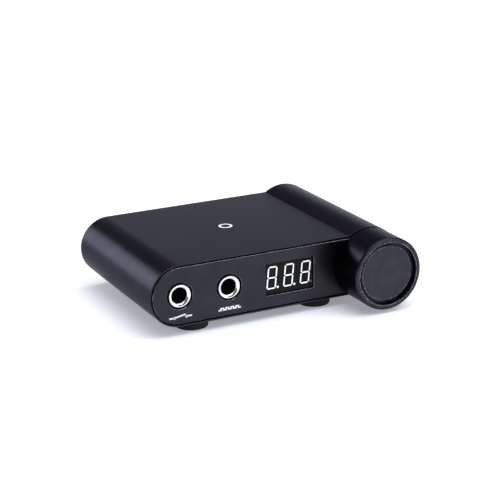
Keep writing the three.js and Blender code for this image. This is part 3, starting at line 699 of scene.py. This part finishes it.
CASE_BLACK = blasted_anodising("case_anodising")
PANEL_DEPTH = PANEL_FACE - FRONT
# The panels get the painted highlight specks on their edge bevels.
PANEL_BLACK = blasted_anodising("panel_anodising", (PANEL_DEPTH + 0.05 * MM, PANEL_DEPTH + PANEL_EDGE))
KNOB_BLACK = smooth_anodising()
KNOB_INLAY = grained_inlay()
CHROME = polished_plating()
NICKEL = metal("nickel_plating", grey(0.62), grey(0.46), 0.22)
BLACK_OXIDE = metal("black_oxide", grey(0.05), grey(0.025), 0.4)
BRASS = metal("turned_brass", (0.62, 0.44, 0.18, 1), (0.46, 0.32, 0.13, 1), 0.25, (0.05, 1, 0.05))
MACHINED = metal("machined_aluminium", grey(0.62), grey(0.5), 0.3, (0.05, 1, 0.05))
RUBBER = moulded("foot_rubber", grey(0.016), 0.72, 0.4 * MM, 0.3)
PLASTIC = moulded("black_moulding", grey(0.014), 0.45)
EPOXY = moulded("chip_epoxy", grey(0.02), 0.6, 0.15 * MM)
DISPLAY_FACE = printed_face()
LIT = glowing_resin()
UNLIT = unlit_resin()
INK = white_ink()
BOARD = solder_mask()
CORE = wound_core()
RIBBON = ribbed_ribbon()

# ---- Case and plates ----------------------------------------------------------------------------


def case_extrusion():
    """The extrusion as one lofted sleeve. Its ends are rebated for the plates, and each thin rim is
    eased outside and chamfered inside."""
    shoulder = PANEL_BACK + SEAT
    end = FRONT + RIM_SET_BACK
    half = [
        (WALL, shoulder),
        (RIM_WALL, shoulder),
        (RIM_WALL, end + RIM_CHAMFER),
        (RIM_WALL - RIM_CHAMFER, end),
        *arc((RIM_EASE, end + RIM_EASE), RIM_EASE, 1.5 * math.pi, math.pi, 5),
    ]
    profile = half + [(inset, FRONT + BACK - y) for inset, y in reversed(half)]
    rings = [[(x, y, z) for x, z in case_outline(inset)] for inset, y in profile]
    return lofted("case_extrusion", rings)


def display_window():
    low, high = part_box("display_reflector")
    centre = ((low.x + high.x) / 2, (low.z + high.z) / 2)
    size = (high.x - low.x + 2 * WINDOW_GAP, high.z - low.z + 2 * WINDOW_GAP)
    return rounded_rectangle(centre, *size, WINDOW_CORNER)


def front_panel():
    holes = [circle((place.x, place.z), FERRULE_RADIUS + FERRULE_CLEARANCE) for place in SOCKETS.values()]
    bushing = circle((TUBE_X, AXIS_Z), SHAFT_RADIUS + BUSHING_WALL + BUSHING_CLEARANCE, 48)
    loops = [case_outline(PANEL_INSET), *holes, display_window(), bushing]
    eases = [PANEL_EDGE, *[SOCKET_HOLE_EDGE] * len(holes), WINDOW_EDGE, 0]
    return plate("front_panel", loops, PANEL_FACE, PANEL_BACK, eases)


REAR_SCREWS = [f"back_screw_{side}" for side in ("lower_left", "upper_left", "lower_right", "upper_right")]


def rear_panel():
    screws = [middle(node) for node in REAR_SCREWS]
    head = half_width(REAR_SCREWS[0])
    holes = [circle((place.x, place.z), head + SEAT, 48) for place in screws]
    inlet = middle("power_inlet_pin")
    loops = [case_outline(PANEL_INSET), *holes, circle((inlet.x, inlet.z), INLET_HOLE, 64)]
    eases = [PANEL_EDGE, *[0.12 * MM] * len(holes), 0.2 * MM]
    return plate("rear_panel", loops, REAR_FACE, REAR_INNER, eases)


def rear_screw(node):
    """A countersunk screw with a hexagon socket and a few turns of thread."""
    low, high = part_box(node)
    centre = middle(node)
    head = half_width(node)
    shank = 1.0 * MM
    cone = 1.3 * MM
    outline = [(0, high.y), (head - 0.1 * MM, high.y), (head, high.y - 0.1 * MM), (shank, high.y - cone)]
    pitch = 0.5 * MM
    y = high.y - cone - 0.3 * MM
    while y > low.y + pitch:
        outline += [(shank, y), (shank - 0.16 * MM, y - pitch / 2)]
        y -= pitch
    outline += [(shank - 0.2 * MM, low.y), (0, low.y)]
    screw = turned("rear_screw_" + node[len("back_screw_"):], outline, centre, 48)
    bm = bmesh.new()
    key = circle((centre.x, centre.z), 0.85 * MM, 6)
    plate_into(bm, [key], high.y + 0.5 * MM, high.y - 0.8 * MM, [0])
    return cut(screw, finished_mesh("hexagon_key", bm))


def rubber_foot(node):
    """A round foot: a slight taper, a soft lower edge and a shallow groove near its top."""
    low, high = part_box(node)
    radius = half_width(node)
    taper = 0.4 * MM
    outline = eased([
        (0, low.z, 0),
        (radius - taper, low.z, 0.25 * MM),
        (radius - 0.1 * MM, high.z - 0.9 * MM, 0.1 * MM),
        (radius - 0.35 * MM, high.z - 0.7 * MM, 0.1 * MM),
        (radius - 0.35 * MM, high.z - 0.5 * MM, 0.1 * MM),
        (radius, high.z - 0.3 * MM, 0.08 * MM),
        (radius, high.z, 0),
        (0, high.z, 0),
    ])
    return turned("rubber_" + node, outline, (low + high) / 2, 96, "Z")


stands_for(case_extrusion(), "case_shell", finish=CASE_BLACK)
stands_for(front_panel(), "front_plate", finish=PANEL_BLACK)
stands_for(rear_panel(), "back_plate", finish=PANEL_BLACK)
for node in REAR_SCREWS:
    stands_for(rear_screw(node), node, finish=BLACK_OXIDE)
for node in [f"foot_{end}_{side}" for end in ("front", "back") for side in ("left", "right")]:
    stands_for(rubber_foot(node), node, finish=RUBBER)

# ---- Sockets ------------------------------------------------------------------------------------


def socket_funnel(name, node):
    """The bright ferrule: a thin flat lip, a mouth that rolls over into the bore, and the barrel."""
    low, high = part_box(node)
    mouth = FERRULE_RADIUS - FERRULE_LIP
    roll = [
        (mouth - (mouth - SOCKET_BORE) * math.sin(a), low.y + FUNNEL_DEPTH * (1 - math.cos(a)))
        for a in [math.radians(6 * k) for k in range(15, -1, -1)]
    ]
    outline = roll + eased([
        (FERRULE_RADIUS, low.y, 0.2 * MM),
        (FERRULE_RADIUS, PANEL_BACK, 0),
        (FERRULE_BARREL, PANEL_BACK, 0),
        (FERRULE_BARREL, high.y, 0),
        (SOCKET_BORE, high.y, 0),
    ])
    return turned(name, outline, (low + high) / 2, 128)


def tip_spring(name, node):
    """The sprung strip that meets a plug's tip: level from its root, then dipped to a round detent."""
    low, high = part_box(node)
    thickness = 0.4 * MM
    root = high.z - thickness
    reach = 2.5 * MM
    detent = high.y - reach
    bent = root - 0.2 * MM
    dip = bent - low.z
    spine = [(low.y, root), (low.y + 7 * MM, root), (detent - reach, bent)]
    spine += [
        (detent + reach * math.sin(a), bent - dip * math.cos(a) ** 2)
        for a in [math.radians(15 * k) for k in range(-5, 6)]
    ]
    spine.append((high.y, bent))
    bm = bmesh.new()
    section = [(low.x, 0), (high.x, 0), (high.x, thickness), (low.x, thickness)]
    rings = [[bm.verts.new((x, y, z + lift)) for x, lift in section] for y, z in spine]
    for first, second in zip(rings, rings[1:]):
        bridge(bm, first, second)
    bm.faces.new(rings[0])
    bm.faces.new(rings[-1])
    return finished_mesh(name, bm)


for use in SOCKETS:
    ferrule, body, contact = [f"{use}_socket_{part}" for part in ("ferrule", "body", "tip_contact")]
    stands_for(socket_funnel(f"{use}_funnel", ferrule), ferrule, finish=CHROME)
    stands_for(softened(f"{use}_housing", body, 0.3 * MM), body, finish=PLASTIC)
    stands_for(tip_spring(f"{use}_tip_spring", contact), contact, finish=NICKEL)

# ---- Display ------------------------------------------------------------------------------------


def figure_centre(index):
    place = middle("display_reflector")
    return place.x + DIGIT_SHIFT + (index - 1) * DIGIT_PITCH, place.z + DIGIT_RISE


def figure_bars():
    """The seven bars of a figure as (across, up, length, upright), before it leans."""
    across = DIGIT_WIDTH - SEGMENT_WIDTH
    up = (DIGIT_HEIGHT - SEGMENT_WIDTH) / 2
    flat = across - SEGMENT_GAP
    tall = up - SEGMENT_GAP
    bars = [(0, level * up, flat, False) for level in (1, 0, -1)]
    bars += [(side * across / 2, level * up / 2, tall, True) for side in (-1, 1) for level in (1, -1)]
    return bars


def bar_outline(index, bar, play):
    """One bar's outline, mitred at its ends and leaning with its figure."""
    x, z = figure_centre(index)
    across, up, length, upright = bar
    half = length / 2 + play
    thick = SEGMENT_WIDTH / 2 + play
    ends = [(-half, 0), (-half + thick, thick), (half - thick, thick),
            (half, 0), (half - thick, -thick), (-half + thick, -thick)]
    outline = []
    for lengthways, sideways in ends:
        dx = across + (sideways if upright else lengthways)
        dz = up + (lengthways if upright else sideways)
        outline.append((x + dx + dz * DIGIT_LEAN, z + dz))
    return outline


def point_outline(index, play):
    x, z = figure_centre(index)
    drop = POINT_RADIUS - DIGIT_HEIGHT / 2
    across = DIGIT_WIDTH / 2 + POINT_GAP + POINT_RADIUS + drop * DIGIT_LEAN
    return circle((x + across, z + drop), POINT_RADIUS + play, 24)


def display_face():
    """The reflector's face, pierced for every bar and point, on a plain box behind."""
    low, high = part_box("display_reflector")
    centre = ((low.x + high.x) / 2, (low.z + high.z) / 2)
    width, height = high.x - low.x, high.z - low.z
    wall = 0.45 * MM
    outline = rounded_rectangle(centre, width, height, 0.3 * MM, 4)
    slots = [bar_outline(index, bar, SEGMENT_PLAY) for index in range(DIGITS) for bar in figure_bars()]
    points = [point_outline(index, SEGMENT_PLAY) for index in range(DIGITS)]
    bm = bmesh.new()
    face_back = low.y + FACE_THICKNESS
    plate_into(bm, [outline, *slots, *points], low.y, face_back, [0.1 * MM])
    well = rounded_rectangle(centre, width - 2 * wall, height - 2 * wall, 0.2 * MM, 4)
    plate_into(bm, [outline, well], face_back + HAIR, high.y, [0])
    return finished_mesh("display_bezel", bm)


def lit_figure(index):
    """The bars of one figure, a hair below the face, on the resin block that joins them."""
    low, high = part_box(f"display_figure_{index + 1}")
    top = low.y + LIT_SINK
    backing = low.y + FACE_THICKNESS + SEAT
    bm = bmesh.new()
    for bar in figure_bars():
        plate_into(bm, [bar_outline(index, bar, 0)], top, backing, [LIT_EDGE])
    if index < DIGITS - 1:
        plate_into(bm, [point_outline(index, 0)], top, backing, [LIT_EDGE])
    width, height = high.x - low.x, high.z - low.z
    block = rounded_rectangle(((low.x + high.x) / 2, (low.z + high.z) / 2), width, height, 0.2 * MM, 3)
    plate_into(bm, [block], backing + HAIR, high.y, [0])
    return finished_mesh(f"lit_figure_{index + 1}", bm)


stands_for(display_face(), "display_reflector", finish=DISPLAY_FACE)
for index in range(DIGITS):
    stands_for(lit_figure(index), f"display_figure_{index + 1}", finish=LIT)
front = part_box("display_figure_3")[0].y
last_point = [point_outline(DIGITS - 1, 0)]
dark_point = plate("unlit_point", last_point, front + LIT_SINK, front + FACE_THICKNESS, [LIT_EDGE])
added(dark_point, "display_figure_3", UNLIT)

# ---- Printed marks ------------------------------------------------------------------------------

INK_THICKNESS = 0.03 * MM
MARK_STROKE = 0.62 * MM
MARK_WIDTH = 10 * MM
MARK_HEIGHT = 1.35 * MM
MARK_DROP = 8.9 * MM


def ribbon(points, width):
    """The outline of a line of constant width through points, mitred at its bends."""
    sides = ([], [])
    line = [Vector(point) for point in points]
    for i, here in enumerate(line):
        into = (here - line[i - 1]).normalized() if i else (line[1] - here).normalized()
        out = (line[i + 1] - here).normalized() if i + 1 < len(line) else into
        normal = Vector((-(into + out).y, (into + out).x)).normalized()
        reach = width / 2 / max(0.4, normal.dot(Vector((-into.y, into.x))))
        sides[0].append(tuple(here + normal * reach))
        sides[1].append(tuple(here - normal * reach))
    return sides[0] + sides[1][::-1]


def inked(name, shapes):
    """Flat ink on the front panel. Each shape is an outline and the holes in it."""
    bm = bmesh.new()
    for loops in shapes:
        plate_into(bm, loops, PANEL_FACE - INK_THICKNESS, PANEL_FACE + HAIR, [0])
    return finished_mesh(name, bm)


def switch_mark():
    """An open switch: two terminals, their leads, and a raised arm."""
    place = SOCKETS["foot_switch"]
    x, z = place.x, place.z - MARK_DROP
    ring = 0.62 * MM
    apart = 2.6 * MM
    shapes = []
    for side in (-1, 1):
        terminal = (x + side * apart, z)
        shapes.append([circle(terminal, ring, 24), circle(terminal, ring - 0.3 * MM, 24)])
        lead = [(x + side * (apart + ring + 0.05 * MM), z), (x + side * MARK_WIDTH / 2, z)]
        shapes.append([ribbon(lead, MARK_STROKE)])
    arm = [(x - apart + ring, z + 0.12 * MM), (x + apart - 0.5 * MM, z + MARK_HEIGHT / 2 + 0.25 * MM)]
    shapes.append([ribbon(arm, MARK_STROKE)])
    return inked("switch_mark", shapes)


def pulse_mark():
    """A train of square pulses."""
    place = SOCKETS["output"]
    x, z = place.x - MARK_WIDTH / 2, place.z - MARK_DROP
    pulses = 4
    step = MARK_WIDTH / (2 * pulses + 1)
    low, high = z - MARK_HEIGHT / 2 + MARK_STROKE / 2, z + MARK_HEIGHT / 2 - MARK_STROKE / 2
    line = [(x, low)]
    for i in range(pulses):
        rise_x = x + (2 * i + 1) * step
        line += [(rise_x, low), (rise_x, high), (rise_x + step, high), (rise_x + step, low)]
    line.append((x + MARK_WIDTH, low))
    return inked("pulse_mark", [[ribbon(line, MARK_STROKE)]])


def top_mark():
    """A plain printed ring on the case's top."""
    centre = (case_low.x + 51.8 * MM, case_low.y + 38.5 * MM, 0)
    inner, outer = 2 * MM, 3 * MM
    bottom, top = FLAT_TOP - HAIR, FLAT_TOP + INK_THICKNESS
    outline = [(inner, bottom), (outer, bottom), (outer, top), (inner, top)]
    return turned("top_mark", outline, centre, 96, "Z")


added(switch_mark(), "front_plate", INK)
added(pulse_mark(), "front_plate", INK)
added(top_mark(), "case_shell", INK)

# ---- Knob and encoder ---------------------------------------------------------------------------


def knob():
    """The knob, turned in one piece: a rim round a shallow recess in front, a skirt and a hub
    behind, a shaft bore, and a hole from below for the grub screw."""
    low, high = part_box("knob_body")
    radius = half_width("knob_body")
    bore_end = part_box("encoder_shaft")[0].y - 0.3 * MM
    bore = SHAFT_RADIUS + SEAT
    outline = eased([
        (0, low.y + KNOB_RECESS, 0),
        (KNOB_RIM_RADIUS, low.y + KNOB_RECESS, 0.25 * MM),
        (KNOB_RIM_RADIUS, low.y, 0.3 * MM),
        (radius - KNOB_CHAMFER, low.y, 0.2 * MM),
        (radius, low.y + KNOB_CHAMFER, 0.2 * MM),
        (radius, high.y, 0.2 * MM),
        (radius - KNOB_SKIRT, high.y, 0.2 * MM),
        (radius - KNOB_SKIRT, high.y - KNOB_SKIRT_DEPTH, 0.4 * MM),
        (KNOB_HUB, high.y - KNOB_SKIRT_DEPTH, 0.4 * MM),
        (KNOB_HUB, high.y - KNOB_HUB_START, 0.2 * MM),
        (bore, high.y - KNOB_HUB_START, 0.2 * MM),
        (bore, bore_end, 0),
        (0, bore_end, 0),
    ])
    piece = turned("turning_knob", outline, (low + high) / 2, 192)
    screw = middle("knob_grub_screw")
    below = Vector((screw.x, screw.y, low.z - MM))
    within = Vector((screw.x, screw.y, AXIS_Z - bore / 2))
    return bored(piece, GRUB_HOLE, below, within)


def knob_inlay():
    low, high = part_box("knob_face_disc")
    radius = half_width("knob_face_disc")
    outline = eased([(0, low.y, 0), (radius, low.y, 0.3 * MM), (radius, high.y, 0.05 * MM), (0, high.y, 0)])
    return turned("knob_inlay", outline, (low + high) / 2, 160)


def ring_outline(node, bore, ease):
    """A plain ring's outline about Y, from its node's box."""
    low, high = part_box(node)
    radius = half_width(node)
    return eased([(bore, low.y, ease), (radius, low.y, ease), (radius, high.y, ease), (bore, high.y, ease)])


def threaded_bushing():
    """The encoder's bushing, with its thread, and the flange that holds it in the can."""
    low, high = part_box("encoder_bushing")
    outer = SHAFT_RADIUS + BUSHING_WALL
    inner = SHAFT_RADIUS + 0.08 * MM
    flange = half_width("encoder_bushing")
    flange_front = high.y - 0.7 * MM
    outline = [(inner, low.y)]
    pitch = 0.75 * MM
    y = low.y
    while y < flange_front - pitch:
        outline += [(outer - 0.2 * MM, y), (outer, y + pitch / 2)]
        y += pitch
    outline += [(outer, flange_front), (flange, flange_front), (flange, high.y), (inner, high.y)]
    return turned("threaded_bushing", outline, (low + high) / 2, 64)


stands_for(knob(), "knob_body", finish=KNOB_BLACK)
stands_for(knob_inlay(), "knob_face_disc", finish=KNOB_INLAY)
stands_for(threaded_bushing(), "encoder_bushing", finish=BRASS)
washer_outline = ring_outline("encoder_washer", SHAFT_RADIUS + BUSHING_WALL + BUSHING_CLEARANCE, 0.08 * MM)
washer = turned("spring_washer", washer_outline, middle("encoder_washer"))
stands_for(washer, "encoder_washer", finish=NICKEL)
KNOB_PARTS = [
    ("grub_screw", "knob_grub_screw", 0.1 * MM, BLACK_OXIDE),
    ("hexagon_nut", "encoder_nut", 0.2 * MM, NICKEL),
    ("flatted_shaft", "encoder_shaft", 0.2 * MM, MACHINED),
    ("encoder_can", "encoder_body", 0.3 * MM, MACHINED),
    ("wiper_rotor", "encoder_rotor", 0.15 * MM, PLASTIC),
    ("switch_plunger", "encoder_push_plunger", 0.15 * MM, PLASTIC),
]
for name, node, ease, finish in KNOB_PARTS:
    stands_for(softened(name, node, ease), node, finish=finish)

# ---- Low-voltage inlet --------------------------------------------------------------------------


def inlet_pin():
    low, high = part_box("power_inlet_pin")
    radius = half_width("power_inlet_pin")
    outline = eased([(0, low.y, 0), (radius, low.y, 0), (radius, high.y, 0.6 * radius), (0, high.y, 0)])
    return turned("centre_pin", outline, (low + high) / 2, 48)


stands_for(softened("inlet_housing", "power_inlet_body", 0.25 * MM, 3), "power_inlet_body", finish=PLASTIC)
stands_for(inlet_pin(), "power_inlet_pin", finish=NICKEL)

# ---- Inside the case ----------------------------------------------------------------------------


def canned_capacitor(name, node):
    """An upright can: rolled crimp near its foot, eased shoulders and a scored top."""
    low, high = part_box(node)
    radius = half_width(node)
    outline = eased([
        (0, low.z, 0),
        (radius, low.z, 0.4 * MM),
        (radius, low.z + 1.2 * MM, 0.2 * MM),
        (radius - 0.6 * MM, low.z + 1.7 * MM, 0.3 * MM),
        (radius, low.z + 2.2 * MM, 0.2 * MM),
        (radius, high.z, 0.6 * MM),
        (radius - 1.2 * MM, high.z, 0.1 * MM),
        (radius - 1.5 * MM, high.z - 0.25 * MM, 0.1 * MM),
        (0, high.z - 0.25 * MM, 0),
    ])
    return turned(name, outline, (low + high) / 2, 96, "Z")


def shielded_coil():
    """A drum core: two flanges with the winding drawn in between them."""
    low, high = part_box("inductor")
    radius = half_width("inductor")
    flange = 1.5 * MM
    outline = eased([
        (0, low.z, 0),
        (radius, low.z, 0.3 * MM),
        (radius, low.z + flange, 0.2 * MM),
        (radius - 0.9 * MM, low.z + flange, 0.1 * MM),
        (radius - 0.9 * MM, high.z - flange, 0.1 * MM),
        (radius, high.z - flange, 0.2 * MM),
        (radius, high.z, 0.3 * MM),
        (0, high.z, 0),
    ])
    return turned("shielded_coil", outline, (low + high) / 2, 96, "Z")


for name, node in (("input_can", "input_capacitor"), ("output_can", "output_capacitor")):
    stands_for(canned_capacitor(name, node), node, finish=shrink_sleeve(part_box(node)[0].x + 0.8 * MM))
stands_for(shielded_coil(), "inductor", finish=CORE)
INSIDE = [
    ("circuit_panel", "main_board", 0.12 * MM, BOARD),
    ("display_circuit", "display_board", 0.1 * MM, BOARD),
    ("encoder_circuit", "encoder_board", 0.1 * MM, BOARD),
    ("pin_header", "display_header", 0.15 * MM, PLASTIC),
    ("regulator_package", "voltage_regulator", 0.25 * MM, EPOXY),
    ("controller_package", "controller_chip", 0.15 * MM, EPOXY),
    ("finned_sink", "heat_sink", 0.2 * MM, MACHINED),
    ("lead_header", "encoder_lead_socket", 0.25 * MM, PLASTIC),
    ("ribbon_lead", "encoder_lead", 0.08 * MM, RIBBON),
]
for side in ("left", "right"):
    INSIDE += [
        (f"angle_bracket_{side}", f"front_bracket_{side}", 0.12 * MM, NICKEL),
        (f"pressed_stud_{side}", f"plate_stud_{side}", 0.12 * MM, NICKEL),
        (f"stud_nut_{side}", f"plate_stud_nut_{side}", 0.12 * MM, NICKEL),
        (f"board_screw_{side}", f"bracket_screw_{side}", 0.15 * MM, NICKEL),
    ]
for name, node, ease, finish in INSIDE:
    stands_for(softened(name, node, ease), node, finish=finish)

# ---- Floor, lights and camera -------------------------------------------------------------------


def floor():
    """A seamless pale sheet, big enough to run out of sight."""
    bm = bmesh.new()
    half = 4.0
    corners = [(-half, -half), (half, -half), (half, half), (-half, half)]
    bm.faces.new([bm.verts.new((x, y, 0)) for x, y in corners])
    sheet = finished_mesh("floor", bm)
    glow = {"Emission_Color": (0.9, 0.92, 1.0, 1.0), "Emission_Strength": 0.31}
    finish = Finish("white_sheet", Specular_IOR_Level=0.1, **glow)
    paper = finish.grain(40 * MM, 2)
    sheet.data.materials.append(
        finish.feed(Base_Color=finish.mixed(paper, grey(0.9), grey(0.92)), Roughness=0.8 + 0.1 * paper)
    )
    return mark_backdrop(sheet)


def aimed(thing, place, target, roll=0.0):
    """Puts a light or a camera at a place, looking at a target."""
    turn = (Vector(target) - Vector(place)).to_track_quat("-Z", "Y").to_matrix()
    thing.matrix_world = Matrix.Translation(place) @ (turn @ Matrix.Rotation(roll, 3, "Z")).to_4x4()
    bpy.context.scene.collection.objects.link(thing)
    return thing


def softbox(name, place, width, height, power):
    """A cool rectangular light, aimed at the middle of the unit."""
    light = bpy.data.lights.new(name, "AREA")
    light.shape = "RECTANGLE"
    light.size = width
    light.size_y = height
    light.energy = power
    light.color = (0.9, 0.93, 1.0)
    return aimed(bpy.data.objects.new(name, light), place, (0, 0, 0.02))


def camera():
    """Stands to the left of the front and above, looking down along the line of sight."""
    azimuth, elevation, roll = [math.radians(turn) for turn in (-26.35, 18.15, -0.93)]
    distance = 662.8 * MM
    target = Vector((-0.4, -4.05, 21.95)) * MM
    level = Vector((-math.sin(azimuth), math.cos(azimuth), 0))
    sight = level * math.cos(elevation) - Vector((0, 0, math.sin(elevation)))
    lens = bpy.data.cameras.new("camera")
    lens.lens = 112.95
    lens.sensor_width = 36
    lens.clip_start = 0.01
    lens.clip_end = 20
    return aimed(bpy.data.objects.new("camera", lens), target - sight * distance, target, roll)


floor()
softbox("overhead", (0.15, -0.12, 1.0), 1.3, 1.5, 15.3)
softbox("behind_left", (-0.57, 1.0, 0.3), 0.5, 0.58, 4.6)
softbox("backdrop", (0.95, 1.8, 0.4), 2.2, 0.75, 6.7)
softbox("front_right", (1.0, -0.75, 0.32), 1.0, 0.6, 5)
bpy.context.scene.camera = camera()
world = bpy.data.worlds.new("studio")
world.use_nodes = True
world.node_tree.nodes["Background"].inputs["Color"].default_value = (0.88, 0.92, 1.0, 1.0)
world.node_tree.nodes["Background"].inputs["Strength"].default_value = 0.2
bpy.context.scene.world = world
bpy.context.scene.view_settings.view_transform = "Standard"
